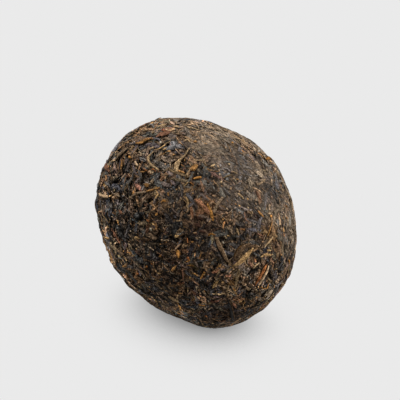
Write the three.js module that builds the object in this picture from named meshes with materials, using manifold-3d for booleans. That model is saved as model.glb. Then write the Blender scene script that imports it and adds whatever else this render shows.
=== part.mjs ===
// A pu-erh tuocha: tea leaves steamed and pressed in a cloth into a small thick bowl. It lies on
// its side wall, with the rounded back towards -Y and the hollow towards +Y. Millimetres, +Z up.
// The origin is the middle of the small flat spot that it rests on.
import * as THREE from "three";
import { mergeVertices } from "three/addons/utils/BufferGeometryUtils.js";
import Module from "manifold-3d";

// Driving dimensions
const diameter = 83; // across the widest plane, leaves included
const domeHeight = 26.5; // from the widest plane to the middle of the rounded back
const lipHeight = 20; // from the widest plane to the crest of the lip
const hollowDepth = 24; // from the crest of the lip to the bottom of the hollow
const crestRadius = 25; // of the circle that the crest of the lip makes
const leafStand = 0.7; // how far a leaf stands out of the pressed mass
const flatTrim = 1; // depth of the worn flat spot underneath

// Shape of the pressed mass
const domeFullness = 1.93; // 2 is an ellipse, more is squarer
const lipFullness = 2.05;
const lipInnerPull = 8; // how round the lip turns into the hollow
const hollowFloorPull = 15; // how wide the bottom of the hollow is
const profileSteps = { dome: 9, lip: 6, hollow: 7 };
const roundSegments = 44;

// Broad dents and swells of the pressed mass: [from the dome's middle, round from the top towards
// +X, height, half width], in degrees and millimetres
const swells = [
  [91, -45, 0.7, 15],
  [108, -3, -0.9, 15],
  [113, 47, 1.2, 15],
  [110, 79, -0.4, 12],
  [105, 105, -0.4, 14],
  [95, 126, -0.4, 12],
  [81, 159, 0.8, 14],
  [73, -172, -0.6, 14],
  [78, -80, 0.4, 12],
  [45, 60, -0.5, 22],
  [38, -120, 0.4, 20],
];

// Folds of the cloth, pressed into the surface as waves that run round it and lean along it
const ripple = { height: 0.16, waves: [5, 9, 13], stagger: 2.3, slant: 3 };

// Leaves and stalks that show, largest first: how many, length, width, stand above the mass
const leafKinds = [
  { count: 30, length: [12, 15], width: [2.8, 3.6], stand: 0.85, bend: 0.25, spans: 3 },
  { count: 50, length: [8.5, 12], width: [1.9, 2.6], stand: 1, bend: 0.5, spans: 2 },
  { count: 54, length: [6, 8], width: [1.4, 1.9], stand: 1.15, bend: 0.5, spans: 1 },
];
const leafBury = 1.1; // depth of a leaf's keel below the surface
const leafTip = { share: 0.45, inset: 0.15 }; // width left at a tip, and how soon it narrows
const leafSeed = 41;

const radius = (diameter - leafStand) / 2;
const centreHeight = radius - flatTrim;
const goldenAngle = Math.PI * (3 - Math.sqrt(5));

const wasm = await Module();
wasm.setup();

// Numbers from 0 to 1 that come out the same on every run.
function seededRandom(seed) {
  let state = seed;
  return () => {
    state = (state + 0x6d2b79f5) | 0;
    let t = Math.imul(state ^ (state >>> 15), 1 | state);
    t = (t + Math.imul(t ^ (t >>> 7), 61 | t)) ^ t;
    return ((t ^ (t >>> 14)) >>> 0) / 4294967296;
  };
}

// The section from the dome's middle round the lip to the bottom of the hollow: x is the distance
// from the tuocha's own axis, y runs along it.
function sectionPoints() {
  const points = [];
  const dome = profileSteps.dome;
  for (let i = 0; i <= dome; i++) {
    const turn = (Math.PI / 2) * (1 - i / dome);
    points.push(
      new THREE.Vector2(
        i === 0 ? 0 : radius * Math.cos(turn) ** (2 / domeFullness),
        -domeHeight * Math.sin(turn) ** (2 / domeFullness),
      ),
    );
  }
  const lip = profileSteps.lip;
  for (let i = 1; i < lip; i++) {
    const turn = (Math.PI / 2) * (i / lip);
    points.push(
      new THREE.Vector2(
        crestRadius + (radius - crestRadius) * Math.cos(turn) ** (2 / lipFullness),
        lipHeight * Math.sin(turn) ** (2 / lipFullness),
      ),
    );
  }
  const hollow = new THREE.CubicBezierCurve(
    new THREE.Vector2(crestRadius, lipHeight),
    new THREE.Vector2(crestRadius - lipInnerPull, lipHeight),
    new THREE.Vector2(hollowFloorPull, lipHeight - hollowDepth),
    new THREE.Vector2(0, lipHeight - hollowDepth),
  );
  points.push(...hollow.getPoints(profileSteps.hollow));
  points[points.length - 1].x = 0;
  return points;
}

const section = sectionPoints();

// The nearest place on the turned surface to a point, with the direction out of the mass there.
function onSurface(point) {
  const out = new THREE.Vector3(point.x, 0, point.z);
  const flat = new THREE.Vector2(out.length(), point.y);
  out.normalize();
  let best = Infinity;
  const foot = new THREE.Vector2();
  const along = new THREE.Vector2();
  for (let i = 0; i + 1 < section.length; i++) {
    const step = section[i + 1].clone().sub(section[i]);
    const share = THREE.MathUtils.clamp(
      flat.clone().sub(section[i]).dot(step) / step.lengthSq(),
      0,
      1,
    );
    const place = section[i].clone().addScaledVector(step, share);
    const gap = place.distanceTo(flat);
    if (gap < best) {
      best = gap;
      foot.copy(place);
      along.copy(step).normalize();
    }
  }
  const normal = out.clone().multiplyScalar(along.y);
  normal.y = -along.x;
  normal.normalize();
  const place = out.clone().multiplyScalar(foot.x);
  place.y = foot.y;
  return { place, normal };
}

// How far the pressed mass swells or sinks in a direction from its middle.
function swellAt(direction) {
  const unit = direction.clone().normalize();
  let height = 0;
  for (const [lean, round, rise, halfWidth] of swells) {
    const tilt = THREE.MathUtils.degToRad(lean);
    const turn = THREE.MathUtils.degToRad(round);
    const peak = new THREE.Vector3(
      Math.sin(tilt) * Math.sin(turn),
      -Math.cos(tilt),
      Math.sin(tilt) * Math.cos(turn),
    );
    const off = THREE.MathUtils.radToDeg(unit.angleTo(peak)) / halfWidth;
    height += rise * Math.exp(-off * off);
  }
  const round = Math.atan2(unit.x, unit.z);
  ripple.waves.forEach((wave, i) => {
    const phase = wave * round + ripple.stagger * i + ripple.slant * unit.y;
    height += ripple.height * Math.sin(phase) * (1 - unit.y * unit.y);
  });
  return height;
}

// A closed triangle geometry as a solid that can be joined or cut.
function solidOf(geometry) {
  const bare = geometry.clone();
  bare.deleteAttribute("normal");
  bare.deleteAttribute("uv");
  const merged = mergeVertices(bare, 1e-4);
  return new wasm.Manifold(
    new wasm.Mesh({
      numProp: 3,
      vertProperties: merged.attributes.position.array,
      triVerts: new Uint32Array(merged.index.array),
    }),
  );
}

// The pressed mass: the section turned about the Y axis, then swollen and dented.
function pressedMass() {
  const geometry = new THREE.LatheGeometry(section, roundSegments);
  const position = geometry.attributes.position;
  const point = new THREE.Vector3();
  for (let i = 0; i < position.count; i++) {
    point.fromBufferAttribute(position, i);
    point.addScaledVector(onSurface(point).normal, swellAt(point));
    position.setXYZ(i, point.x, point.y, point.z);
  }
  return solidOf(geometry);
}

// One pressed leaf: a tapered strip with a flat top and a buried keel, bent over the surface.
function leaf(start, heading, { length, width, stand, bend, spans }) {
  const path = [];
  let { place, normal } = onSurface(start);
  let ahead = heading.clone();
  for (let i = 0; i <= spans; i++) {
    ahead.addScaledVector(normal, -ahead.dot(normal)).normalize();
    path.push({
      centre: place.clone().addScaledVector(normal, swellAt(place)),
      normal: normal.clone(),
      side: new THREE.Vector3().crossVectors(normal, ahead),
    });
    const next = place.clone().addScaledVector(ahead, length / spans);
    ahead.applyAxisAngle(normal, bend / spans);
    ({ place, normal } = onSurface(next));
  }
  const corners = [
    [-0.5, 0.1],
    [0.05, 1],
    [0.5, 0],
  ];
  const vertices = [];
  path.forEach(({ centre, normal: up, side }, i) => {
    const run = leafTip.inset + ((1 - 2 * leafTip.inset) * i) / spans;
    const taper = leafTip.share + (1 - leafTip.share) * Math.sin(Math.PI * run);
    for (const [across, height] of corners)
      vertices.push(
        centre
          .clone()
          .addScaledVector(side, across * width * taper)
          .addScaledVector(up, height * stand * taper),
      );
    vertices.push(centre.clone().addScaledVector(up, -leafBury));
  });
  const sides = corners.length + 1;
  const index = [];
  for (let i = 0; i < spans; i++)
    for (let k = 0; k < sides; k++) {
      const a = i * sides + k;
      const b = i * sides + ((k + 1) % sides);
      index.push(a, a + sides, b, b, a + sides, b + sides);
    }
  for (let k = 1; k + 1 < sides; k++) {
    const end = spans * sides;
    index.push(0, k, k + 1, end, end + k + 1, end + k);
  }
  const geometry = new THREE.BufferGeometry().setFromPoints(vertices);
  geometry.setIndex(index);
  return solidOf(geometry);
}

// Places spread evenly over the whole surface by area, dome, wall, lip and hollow alike.
function evenPlaces(count, shift) {
  const areas = [0];
  for (let i = 0; i + 1 < section.length; i++) {
    const ring = section[i].distanceTo(section[i + 1]) * (section[i].x + section[i + 1].x);
    areas.push(areas[i] + ring);
  }
  const whole = areas[areas.length - 1];
  return Array.from({ length: count }, (_, n) => {
    const goal = (whole * (n + 0.5)) / count;
    const i = areas.findIndex((area) => area >= goal) - 1;
    const share = (goal - areas[i]) / (areas[i + 1] - areas[i]);
    const spot = section[i].clone().lerp(section[i + 1], share);
    const turn = shift + n * goldenAngle;
    return new THREE.Vector3(spot.x * Math.sin(turn), spot.y, spot.x * Math.cos(turn));
  });
}

function pressedLeaves() {
  const random = seededRandom(leafSeed);
  const between = ([low, high]) => low + (high - low) * random();
  const leaves = [];
  leafKinds.forEach((kind, k) => {
    for (const spot of evenPlaces(kind.count, 1.7 * k)) {
      const heading = new THREE.Vector3(random() - 0.5, random() - 0.5, random() - 0.5);
      const sizes = {
        length: between(kind.length),
        width: between(kind.width),
        bend: (random() - 0.5) * 2 * kind.bend,
        stand: leafStand * kind.stand * (0.7 + 0.6 * random()),
        spans: kind.spans,
      };
      leaves.push(leaf(spot, heading, sizes));
    }
  });
  return leaves;
}

// Everything under the plane that it rests on, as one box.
function underTheFloor() {
  const size = 2 * diameter;
  const box = new THREE.BoxGeometry(size, size, size);
  box.translate(0, 0, -size / 2 - centreHeight);
  return solidOf(box);
}

function tuochaGeometry() {
  let solid = pressedMass();
  for (const piece of pressedLeaves()) solid = solid.add(piece);
  solid = solid.subtract(underTheFloor());
  const mesh = solid.getMesh();
  const geometry = new THREE.BufferGeometry();
  geometry.setAttribute("position", new THREE.BufferAttribute(mesh.vertProperties, mesh.numProp));
  geometry.setIndex(new THREE.BufferAttribute(mesh.triVerts, 1));
  geometry.computeVertexNormals();
  return geometry;
}

const pressedTea = new THREE.MeshStandardMaterial({
  color: 0x4e4136,
  roughness: 0.85,
  metalness: 0,
});

const tuocha = new THREE.Mesh(tuochaGeometry(), pressedTea);
tuocha.name = "tuocha";
tuocha.position.z = centreHeight;

const root = new THREE.Group();
root.add(tuocha);

export default root;
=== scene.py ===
import math
import random

import bmesh
import bpy
import numpy as np
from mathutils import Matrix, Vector


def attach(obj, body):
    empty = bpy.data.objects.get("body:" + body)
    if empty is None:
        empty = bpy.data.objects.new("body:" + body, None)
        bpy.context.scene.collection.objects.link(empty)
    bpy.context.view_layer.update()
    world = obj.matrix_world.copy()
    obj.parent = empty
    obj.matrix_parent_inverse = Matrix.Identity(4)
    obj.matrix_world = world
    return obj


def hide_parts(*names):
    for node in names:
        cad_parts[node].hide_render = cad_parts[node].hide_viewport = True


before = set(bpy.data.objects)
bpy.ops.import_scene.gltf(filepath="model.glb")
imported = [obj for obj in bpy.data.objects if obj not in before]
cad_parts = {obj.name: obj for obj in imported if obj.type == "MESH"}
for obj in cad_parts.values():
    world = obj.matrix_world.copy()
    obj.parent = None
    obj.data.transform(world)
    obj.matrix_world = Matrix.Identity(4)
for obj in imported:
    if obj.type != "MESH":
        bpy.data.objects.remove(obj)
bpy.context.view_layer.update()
mm = 0.001  # everything below is worked out in millimetres, and meshes are made in metres
wholeTurn = 6.28  # radians that a random turn is drawn from
luck = np.random.default_rng(11)
patchLuck = np.random.default_rng(12)

# the pressed bowl, with the same section and swells as the solid
bowl = {
    "radius": 41.15,  # of the widest plane, under the leaves that stand out
    "domeHeight": 26.5,  # from the widest plane to the middle of the rounded back
    "lipHeight": 20.0,
    "hollowDepth": 24.0,
    "crestRadius": 25.0,
    "centreHeight": 40.15,  # of the bowl's own axis over the floor
    "domeFullness": 1.93,
    "lipFullness": 2.05,
    "lipInnerPull": 8.0,
    "hollowFloorPull": 15.0,
    "arcSteps": 200,
    "samples": 700,
}
swells = [  # lean from the dome's middle, round from the top towards +X, height, half width
    (91, -45, 0.7, 15),
    (108, -3, -0.9, 15),
    (113, 47, 1.2, 15),
    (110, 79, -0.4, 12),
    (105, 105, -0.4, 14),
    (95, 126, -0.4, 12),
    (81, 159, 0.8, 14),
    (73, -172, -0.6, 14),
    (78, -80, 0.4, 12),
    (45, 60, -0.5, 22),
    (38, -120, 0.4, 20),
]
leafSwells = [  # where the leaves stand a little over or under the solid
    (107, 0, 0.95, 10),
    (112, 34, 0.5, 12),
    (98, 100, 0.5, 12),
    (108, 75, 0.35, 14),
    (98, -25, 0.35, 12),
    (65, -108, -0.5, 12),
    (70, 172, -0.5, 9),
]
centre = np.array([0.0, 0.0, bowl["centreHeight"]])


def bowlSection():
    turn = np.linspace(math.pi / 2, 0, bowl["arcSteps"])
    power = 2 / bowl["domeFullness"]
    dome = np.stack([bowl["radius"] * np.cos(turn) ** power, -bowl["domeHeight"] * np.sin(turn) ** power], 1)
    dome[0, 0] = 0
    turn = turn[::-1]
    power = 2 / bowl["lipFullness"]
    crest = bowl["crestRadius"]
    lip = np.stack([
        crest + (bowl["radius"] - crest) * np.cos(turn) ** power,
        bowl["lipHeight"] * np.sin(turn) ** power,
    ], 1)
    floorY = bowl["lipHeight"] - bowl["hollowDepth"]
    pulls = np.array([
        (crest, bowl["lipHeight"]),
        (crest - bowl["lipInnerPull"], bowl["lipHeight"]),
        (bowl["hollowFloorPull"], floorY),
        (0.0, floorY),
    ])
    t = np.linspace(0, 1, bowl["arcSteps"])[:, None]
    weights = ((1 - t) ** 3, 3 * t * (1 - t) ** 2, 3 * t * t * (1 - t), t ** 3)
    hollow = sum(w * p for w, p in zip(weights, pulls))
    line = np.concatenate([dome, lip[1:], hollow[1:]])
    run = np.concatenate([[0], np.cumsum(np.linalg.norm(np.diff(line, axis=0), axis=1))])
    even = np.linspace(0, run[-1], bowl["samples"])
    line = np.stack([np.interp(even, run, line[:, k]) for k in (0, 1)], 1)
    slope = np.gradient(line, axis=0)
    slope[0] = (1, 0)
    slope[-1] = (-1, 0)
    slope /= np.linalg.norm(slope, axis=1)[:, None]
    return even, line, slope


runs, section, slopes = bowlSection()
outward = np.stack([slopes[:, 1], -slopes[:, 0]], 1)  # out of the mass

grid = {"cell": 0.25, "low": (0.0, -36.0), "high": (52.0, 30.0), "batch": 4000, "past": 0.3}


def nearestTable():
    radii = np.arange(grid["low"][0], grid["high"][0], grid["cell"])
    heights = np.arange(grid["low"][1], grid["high"][1], grid["cell"])
    cells = np.stack(np.meshgrid(radii, heights, indexing="ij"), -1).reshape(-1, 2)
    table = np.empty(len(cells))
    for start in range(0, len(cells), grid["batch"]):
        part = cells[start:start + grid["batch"]]
        gap = part[:, None] - section[None]
        near = np.argmin((gap ** 2).sum(2), 1)
        past = ((part - section[near]) * slopes[near]).sum(1)
        table[start:start + grid["batch"]] = runs[near] + np.clip(past, -grid["past"], grid["past"])
    return table.reshape(len(radii), len(heights))


nearest = nearestTable()


def runAt(away, along):
    a = np.clip((away - grid["low"][0]) / grid["cell"], 0, nearest.shape[0] - 1.001)
    b = np.clip((along - grid["low"][1]) / grid["cell"], 0, nearest.shape[1] - 1.001)
    i, j = a.astype(int), b.astype(int)
    a, b = a - i, b - j
    low = nearest[i, j] * (1 - b) + nearest[i, j + 1] * b
    high = nearest[i + 1, j] * (1 - b) + nearest[i + 1, j + 1] * b
    return low * (1 - a) + high * a


def swellAt(points, rises=swells):
    unit = points - centre
    unit /= np.maximum(np.linalg.norm(unit, axis=-1, keepdims=True), 1e-6)
    height = np.zeros(unit.shape[:-1])
    for lean, around, rise, halfWidth in rises:
        tilt, turn = math.radians(lean), math.radians(around)
        peak = (math.sin(tilt) * math.sin(turn), -math.cos(tilt), math.sin(tilt) * math.cos(turn))
        off = np.degrees(np.arccos(np.clip(unit @ np.array(peak), -1, 1))) / halfWidth
        height += rise * np.exp(-off * off)
    return height


def onBowl(points):
    x, y, z = points[..., 0], points[..., 1], points[..., 2] - centre[2]
    away = np.hypot(x, z)
    safe = np.maximum(away, 1e-9)
    run = runAt(away, y)
    footR, footY = np.interp(run, runs, section[:, 0]), np.interp(run, runs, section[:, 1])
    outR, outY = np.interp(run, runs, outward[:, 0]), np.interp(run, runs, outward[:, 1])
    foot = np.stack([x / safe * footR, footY, z / safe * footR + centre[2]], -1)
    normal = np.stack([x / safe * outR, outY, z / safe * outR], -1)
    normal /= np.linalg.norm(normal, axis=-1, keepdims=True)
    return foot, normal


def softNoise(points, size, seed, waves=10, sizes=(0.6, 1.5)):
    draw = np.random.default_rng(seed)
    total = np.zeros(points.shape[:-1])
    for _ in range(waves):
        way = draw.normal(size=3)
        way *= 2 * math.pi / size * draw.uniform(*sizes) / np.linalg.norm(way)
        total += np.sin(points @ way + draw.uniform(0, 2 * math.pi))
    return total / math.sqrt(waves / 2)


print("bowl section ready")

# camera at the photograph's angle
view = {
    "azimuth": 35.8,
    "elevation": 32.7,
    "distance": 420.0,
    "perPixel": 0.3753,  # millimetres of the bowl's middle plane to a pixel
    "frame": 400,
    "middleAt": (192.9, 224.7),  # where the bowl's middle shows
    "sensor": 36,
    "clip": (0.01, 50),  # metres
}


def viewAxes():
    az, el = math.radians(view["azimuth"]), math.radians(view["elevation"])
    right = np.array([math.cos(az), math.sin(az), 0])
    up = np.array([-math.sin(el) * math.sin(az), math.sin(el) * math.cos(az), math.cos(el)])
    back = np.cross(right, up)
    return right, up, back


def makeCamera():
    right, up, back = viewAxes()
    half = view["frame"] / 2
    place = centre + back * view["distance"]
    offX, offY = half - view["middleAt"][0], view["middleAt"][1] - half
    aim = centre + view["perPixel"] * (right * offX + up * offY)
    data = bpy.data.cameras.new("photoCamera")
    data.sensor_width = view["sensor"]
    data.lens = data.sensor_width * view["distance"] / (view["frame"] * view["perPixel"])
    data.clip_start, data.clip_end = view["clip"]
    camera = bpy.data.objects.new("photoCamera", data)
    camera.location = Vector(place * mm)
    camera.rotation_euler = Vector(aim - place).to_track_quat("-Z", "Y").to_euler()
    bpy.context.scene.collection.objects.link(camera)
    bpy.context.scene.camera = camera
    bpy.context.view_layer.update()
    return camera


camera = makeCamera()
march = {"start": 60, "steps": 120, "longest": 8, "caution": 0.9}  # from the camera's side towards the bowl


def onBowlAt(pixels):
    turn = np.array(camera.matrix_world.to_3x3())
    eye = np.array(camera.matrix_world.translation) / mm
    half = view["frame"] / 2
    spread = camera.data.sensor_width / 2 / camera.data.lens
    pixels = np.array(pixels, float).reshape(-1, 2)
    way = np.stack([(pixels[:, 0] - half) / half * spread, (half - pixels[:, 1]) / half * spread,
                    -np.ones(len(pixels))], 1) @ turn.T
    way /= np.linalg.norm(way, axis=1)[:, None]
    place = eye + way * (view["distance"] - march["start"])
    best, least = place, np.full(len(place), np.inf)
    for _ in range(march["steps"]):
        foot, normal = onBowl(place)
        rise = swellAt(foot)
        gap = ((place - foot) * normal).sum(1) - rise
        closer = gap < least  # a pixel just past the outline takes the nearest point of the bowl
        best = np.where(closer[:, None], foot + normal * rise[:, None], best)
        least = np.where(closer, gap, least)
        place = place + way * np.clip(gap, 0, march["longest"])[:, None] * march["caution"]
    return best


# where the surface changes: pixels of the photograph, and sizes on the bowl in millimetres
looseArea = {"at": [(125, 172), (112, 212), (150, 152), (132, 198), (116, 186)], "spread": 13.0}
looseElsewhere = {"size": 60, "seed": 3, "swing": 0.5, "middle": 0.1, "share": 0.7, "seenDepth": 20}
smoothArea = {"at": [(226, 158), (252, 178), (205, 140), (264, 204), (236, 200), (285, 210)], "spread": 11.0}
crispArea = {"at": [(125, 230), (165, 258), (146, 284), (205, 300), (256, 288), (112, 205)], "spread": 11.0}
calmArea = {"at": [(160, 138), (236, 160), (214, 146), (272, 200), (282, 230), (205, 190)], "spread": 10.0}
contrast = {
    "plain": 0.9,
    "crisp": 0.6,
    "calm": -0.38,
    "smooth": -0.1,
    "texture": 0.35,  # more of it in the loose leaves' own markings
    "darkest": 1.15,
    "middle": 0.058,  # tone that stays as it is
}
patches = [  # pixel, spread, colour, share
    # the dust patches along the top and the right edge are the leaves' own dust and also painted light, where
    # the top and the grazing edge catch it
    ((206, 131), 6.0, "dust", 0.75),
    ((224, 134), 6.0, "dust", 0.85),
    ((243, 140), 5.0, "dust", 0.8),
    ((256, 149), 4.0, "dust", 0.7),
    ((215, 147), 5.0, "dust", 0.55),
    ((182, 121), 7.0, "dust", 0.5),
    ((259, 172), 4.0, "dust", 0.65),
    ((249, 186), 3.5, "dust", 0.45),
    ((277, 211), 4.0, "dust", 0.55),
    ((258, 270), 4.5, "drab", 0.4),
    ((246, 266), 4.0, "umber", 0.4),
    ((290, 196), 5.5, "dust", 0.8),
    ((292, 216), 6.0, "dust", 0.8),
    ((293, 238), 6.0, "dust", 0.6),
    ((268, 292), 3.0, "drab", 0.6),
    ((174, 299), 4.0, "drab", 0.6),
    ((162, 204), 4.0, "amber", 0.55),
    ((148, 187), 4.0, "tan", 0.3),
    ((207, 207), 3.4, "orange", 0.55),
    ((272, 214), 3.0, "tan", 0.45),
    ((268, 234), 3.5, "amber", 0.5),
    ((240, 264), 5.0, "olive", 0.35),
    ((235, 282), 3.5, "amber", 0.5),
    ((259, 283), 3.0, "amber", 0.4),
    ((176, 256), 2.0, "orange", 0.5),
    ((246, 226), 3.0, "mauve", 0.5),
    ((252, 214), 3.0, "mauve", 0.5),
    ((234, 190), 4.0, "mauve", 0.5),
    ((219, 158), 4.0, "mauve", 0.5),
    ((290, 258), 4.0, "mauve", 0.5),
    ((202, 206), 3.2, "red", 0.5),
    ((195, 222), 3.4, "maroon", 0.8),
    ((204, 228), 3.0, "maroon", 0.7),
    ((163, 146), 4.0, "slate", 0.8),
    ((165, 218), 4.5, "slate", 0.85),
    ((172, 243), 5.0, "slate", 0.8),
    ((122, 228), 6.0, "slate", 0.75),
    ((150, 246), 6.0, "slate", 0.6),
    ((162, 262), 6.0, "slate", 0.6),
    ((203, 180), 4.0, "slate", 0.7),
    ((236, 156), 4.5, "slate", 0.6),
    ((272, 186), 4.5, "slate", 0.7),
    ((277, 200), 4.0, "slate", 0.6),
    ((204, 246), 4.5, "slate", 0.7),
    ((241, 243), 4.0, "slate", 0.6),
    ((281, 262), 5.0, "slate", 0.6),
    ((215, 309), 5.0, "slate", 0.65),
    ((224, 317), 6.0, "maroon", 0.55),
    ((272, 238), 4.0, "amber", 0.35),
]
tones = [  # pixels along a line, spread, how much lighter or darker the leaves are drawn: partly their own tone, partly painted light and shade
    # painted light: the first three lines brighten the leaves along the outline at the lower left and the
    # right, where the edge catches grazing light
    ([(103, 222), (108, 245), (118, 267), (134, 287), (156, 304), (178, 314)], 3, 3.4),
    ([(112, 232), (122, 258), (140, 281), (166, 300)], 4, 1.3),
    ([(262, 152), (284, 182), (294, 214), (296, 246)], 2.5, 1.7),
    ([(180, 305), (192, 317)], 4.5, 2.5),
    ([(207, 292), (213, 306)], 5, 2.3),
    ([(132, 284), (142, 293)], 5, 1.8),
    ([(218, 221)], 5, 2.2),
    ([(238, 272), (236, 284)], 4.5, 1.7),
    ([(262, 288)], 4.5, 1.5),
    ([(275, 176), (278, 184)], 4, 1.8),
    ([(254, 151)], 4, 1.6),
    ([(211, 127)], 4, 1.7),
    ([(190, 122)], 4, 1.3),
    ([(224, 175), (208, 162)], 4, 1.4),
    ([(234, 190)], 4, 1.4),
    ([(246, 222)], 4, 1.4),
    ([(268, 234)], 4, 1.4),
    ([(291, 238)], 4, 1.5),
    ([(164, 213), (165, 228)], 4, 1.4),
    ([(128, 243), (116, 261)], 4, 1.4),
    ([(108, 240)], 3.5, 1.4),
    ([(162, 246), (168, 260)], 3.5, 1.3),
    ([(134, 187), (137, 206), (141, 222)], 3, 0.6),
    ([(102, 182), (100, 205), (104, 228)], 3, 0.65),
    ([(121, 150), (122, 164), (123, 179)], 3, 0.65),
    ([(139, 138), (141, 155)], 4, 0.65),
    ([(145, 230), (151, 236)], 3, 0.7),
    ([(175, 279)], 4.5, 0.55),
    ([(194, 286)], 4, 0.75),
    ([(176, 243)], 4.5, 0.5),
    ([(176, 190), (190, 190)], 5, 0.7),
    ([(192, 161)], 3.5, 0.75),
    ([(204, 180)], 4, 0.85),
    ([(190, 232)], 7, 0.85),
    ([(230, 226)], 3.5, 0.6),
    ([(213, 272)], 3.5, 0.6),
    ([(152, 254), (162, 258)], 4.5, 0.8),
    ([(225, 316), (246, 311)], 5, 0.6),
    ([(126, 198), (124, 215)], 3.5, 1.3),
    ([(278, 230), (279, 252)], 3.5, 0.8),
    ([(222, 141), (236, 146)], 3, 0.75),
    ([(259, 192)], 3.5, 0.75),
]
creases = [  # pixels along it, height, half width
    {"at": [(199, 135), (222, 133), (243, 138), (258, 149)], "height": 0.45, "width": 2.0},
    {"at": [(204, 147), (226, 149), (247, 157)], "height": -0.35, "width": 2.6},
    {"at": [(166, 181), (196, 181), (216, 179), (233, 175)], "height": -0.5, "width": 1.3},
    {"at": [(172, 128), (192, 126), (206, 125)], "height": -0.3, "width": 1.8},
]


def nearPoints(points, middles, spread):
    share = np.zeros(points.shape[:-1])
    for middle in middles:
        off = np.linalg.norm(points - middle, axis=-1) / spread
        share = np.maximum(share, np.exp(-off * off))
    return share


for area in (looseArea, smoothArea, crispArea, calmArea):
    area["middles"] = onBowlAt(area["at"])
for crease in creases:
    crease["line"] = onBowlAt(crease["at"])
patchMiddles = onBowlAt([patch[0] for patch in patches])
toneAndLightLines = [onBowlAt(tone[0]) for tone in tones]


def looseAt(points):
    rest = looseElsewhere
    elsewhere = np.clip(softNoise(points, rest["size"], rest["seed"]) * rest["swing"] + rest["middle"], 0, 1)
    seen = np.clip(((points - centre) @ viewAxes()[2]) / rest["seenDepth"], 0, 1)
    shown = nearPoints(points, looseArea["middles"], looseArea["spread"])
    return np.clip(np.maximum(shown, elsewhere * (1 - seen) * rest["share"]), 0, 1)


def smoothAt(points):
    return nearPoints(points, smoothArea["middles"], smoothArea["spread"])


def contrastAt(points):  # one is plain, more is where dark gaps lie beside light strands
    crisp = nearPoints(points, crispArea["middles"], crispArea["spread"])
    calm = nearPoints(points, calmArea["middles"], calmArea["spread"]) * (1 - crisp)
    return (contrast["plain"] + contrast["crisp"] * crisp + contrast["calm"] * calm
            + contrast["smooth"] * smoothAt(points))


def nearLine(points, line, spread):
    off = np.linalg.norm(points - line[0], axis=-1)
    for start, end in zip(line, line[1:]):
        along = np.clip((points - start) @ (end - start) / ((end - start) @ (end - start)), 0, 1)
        off = np.minimum(off, np.linalg.norm(points - start - along[..., None] * (end - start), axis=-1))
    return np.exp(-(off / spread) ** 2)


def creaseAt(points):
    return sum(crease["height"] * nearLine(points, crease["line"], crease["width"]) for crease in creases)


def surfaceRise(foot):
    return swellAt(foot) + swellAt(foot, leafSwells) + creaseAt(foot)


def newMaterial(name):
    material = bpy.data.materials.new(name)
    material.use_nodes = True
    tree = material.node_tree
    tree.nodes.clear()
    out = tree.nodes.new("ShaderNodeOutputMaterial")
    shader = tree.nodes.new("ShaderNodeBsdfPrincipled")
    tree.links.new(shader.outputs[0], out.inputs[0])
    return material, tree, shader


def addNode(tree, kind, links=(), **values):
    node = tree.nodes.new(kind)
    for name, value in values.items():
        setattr(node, name, value)
    for socket, source in links:
        if isinstance(source, bpy.types.NodeSocket):
            tree.links.new(source, node.inputs[socket])
        else:
            node.inputs[socket].default_value = source
    return node


def addNoise(tree, vector, stretch, size, detail, roughness):
    mapping = addNode(tree, "ShaderNodeMapping", [("Vector", vector), ("Scale", stretch)])
    return addNode(tree, "ShaderNodeTexNoise", [
        ("Vector", mapping.outputs[0]), ("Scale", size), ("Detail", detail), ("Roughness", roughness),
    ])


def toRange(tree, value, fromLow, fromHigh, low, high):
    return addNode(tree, "ShaderNodeMapRange", [
        ("Value", value), ("From Min", fromLow), ("From Max", fromHigh), ("To Min", low), ("To Max", high),
    ]).outputs[0]


def addMath(tree, operation, first, second, kind="ShaderNodeMath"):
    return addNode(tree, kind, [(0, first), (1, second)], operation=operation).outputs[0]


def addRamp(tree, value, tones):
    ramp = addNode(tree, "ShaderNodeValToRGB", [("Fac", value)])
    places = list(tones)
    elements = ramp.color_ramp.elements
    elements[0].position, elements[1].position = places[0], places[-1]
    for position in places[1:-1]:
        elements.new(position)
    for element, position in zip(elements, places):
        element.color = (*tones[position], 1)
    return ramp.outputs[0]


def addBump(tree, strength, distance, height, under=None):
    links = [("Strength", strength), ("Distance", distance * mm), ("Height", height)]
    if under:
        links.append(("Normal", under.outputs[0]))
    return addNode(tree, "ShaderNodeBump", links)


leafPatterns = {  # what each follows, its stretch, size, detail and roughness, and what noise gives what tone
    "streaks": ("leaf", ((0.22, 1.5, 1.0), 1.4, 4.0, 0.7), (0.37, 0.63), None),  # the finish says what tone
    "flecks": ("leaf", ((0.9, 1.4, 1.0), 1.3, 3.0, 0.6), (0.35, 0.68), (0.68, 1.25)),
    "mottle": ("bowl", ((1, 1, 1), 520.0, 3.0, 0.65), (0.35, 0.65), (0.6, 1.3)),
    # fine grit, whose brightest flecks also stand in as painted glints
    "gritAndGlints": ("bowl", ((1, 1, 1), 1900.0, 2.0, 0.6), (0.4, 0.6), (0.28, 1.55)),
}
leafSkin = {
    "roughFrom": (0.3, 0.7),
    "streakDepth": 0.16,
    "gritDepth": 0.12,
    "gritBump": 0.55,
    "sheen": 0.005,
    "sheenRoughness": 0.4,
    "sheenTint": (1.0, 0.86, 0.68, 1),
}


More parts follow.
